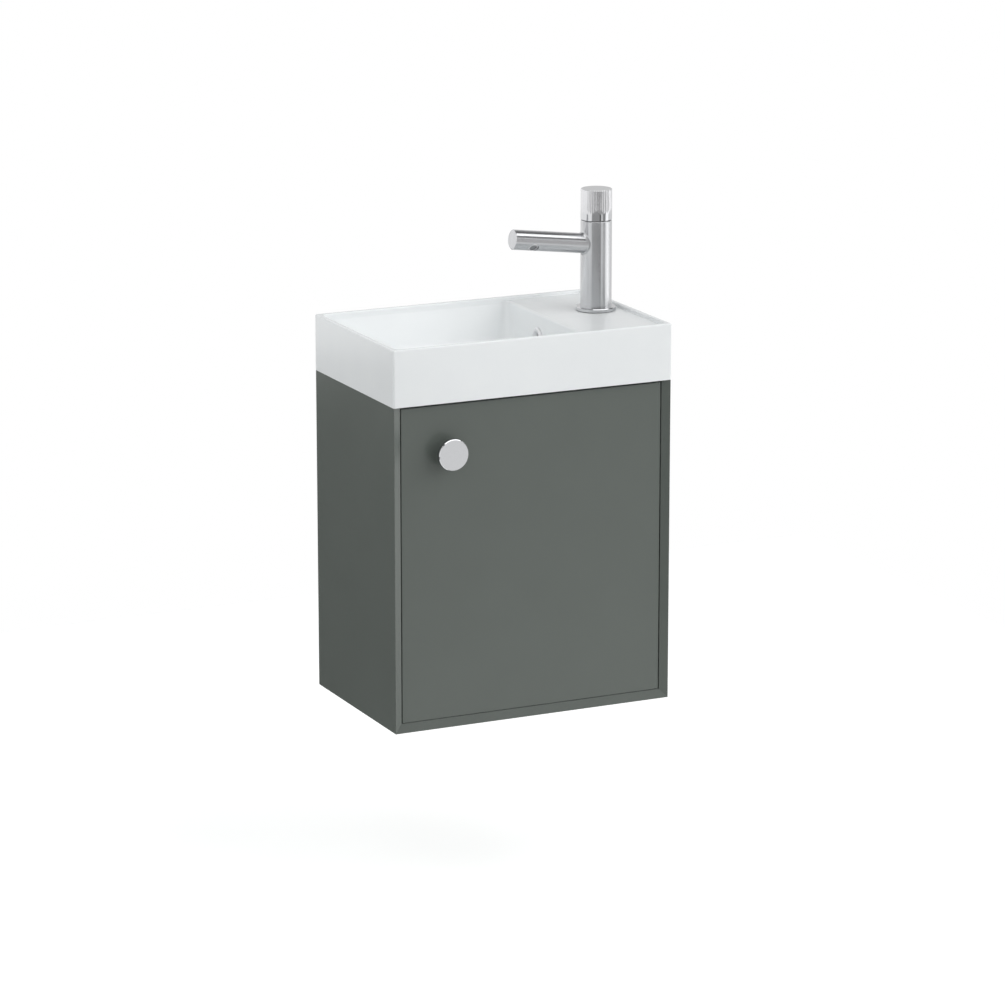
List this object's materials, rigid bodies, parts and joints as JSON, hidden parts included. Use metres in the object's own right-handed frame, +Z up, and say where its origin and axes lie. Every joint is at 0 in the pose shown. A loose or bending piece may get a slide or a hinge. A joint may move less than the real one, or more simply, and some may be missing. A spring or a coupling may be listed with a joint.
{
  "type": "vanity unit",
  "caption": "Wall-hung vanity unit: a grey-green cabinet with a hinged door and round knob under a white rectangular basin with a chrome pillar tap, waste and bottle trap.",
  "frame": {"origin": "midway between the two wall fixing holes, on the back face that meets the wall", "axes": "+X along the wall towards the tap, +Y into the wall, so the door faces -Y, +Z up"},
  "size_m": [0.45, 0.306, 0.7544],
  "materials": {
    "lacquer": "satin grey-green lacquer on board",
    "inner_board": "matt grey-green coated board",
    "dowel_wood": "plain beech",
    "glaze": "gloss white glaze",
    "chrome": "polished chrome plate on brass",
    "steel": "zinc-plated steel",
    "brass": "machined brass",
    "rubber": "black rubber",
    "nylon": "white nylon",
    "trap_plastic": "white moulded plastic",
    "valve_ceramic": "lapped ceramic"
  },
  "bodies": {
    "carcass": {"aerator_housing": "chrome", "aerator_screen": "nylon", "basin": "glaze", "bottom_cleats": "inner_board", "bottom_panel": "lacquer", "catch_case": "nylon", "catch_poles": "steel", "catch_screws": "steel", "front_stretcher": "inner_board", "hanging_rail": "inner_board", "left_side_panel": "lacquer", "lower_back_rail": "inner_board", "lower_pivot_bush": "nylon", "overflow_trim": "chrome", "pivot_arm_screws": "steel", "rail_dowels": "dowel_wood", "right_side_panel": "lacquer", "shelf": "inner_board", "shelf_pins": "steel", "tail_washer_ring": "rubber", "tap_backnut": "brass", "tap_base_ring": "chrome", "tap_body": "chrome", "tap_gasket": "rubber", "top_pivot_arm": "steel", "trap_bottle": "trap_plastic", "trap_cup": "trap_plastic", "trap_inlet_nut": "trap_plastic", "trap_inlet_pipe": "trap_plastic", "trap_neck_nut": "trap_plastic", "trap_outlet_nut": "trap_plastic", "trap_outlet_pipe": "trap_plastic", "upper_pivot_bush": "nylon", "valve_fixed_disc": "valve_ceramic", "valve_headwork": "brass", "waste_backnut": "trap_plastic", "waste_body": "chrome", "waste_flange_gasket": "rubber", "waste_seal_ring": "rubber"},
    "door": {"door_panel": "lacquer", "door_knob": "chrome", "knob_bolt_screw": "steel", "pivot_pins": "steel", "strike_plate": "steel", "strike_screw": "steel"},
    "plug": {"waste_plug": "chrome", "plug_seal_ring": "rubber"},
    "handle": {"tap_handle": "chrome", "valve_spindle": "brass", "handle_grub_screw": "steel"}
  },
  "joints": [
    {"name": "door_swing", "type": "hinge", "parent": "carcass", "child": "door", "pos_m": [0.1805, -0.2715, -0.185], "axis": [0, 0, 1], "range_deg": [0, 105]},
    {"name": "plug_press", "type": "slide", "parent": "carcass", "child": "plug", "axis": [0, 0, -1], "range_m": [0, 0.008], "stiffness_N_per_m": 250, "springref_m": -0.012},
    {"name": "handle_turn", "type": "hinge", "parent": "carcass", "child": "handle", "pos_m": [0.179, -0.128, 0.295], "axis": [0, 0, 1], "range_deg": [0, 90]}
  ]
}
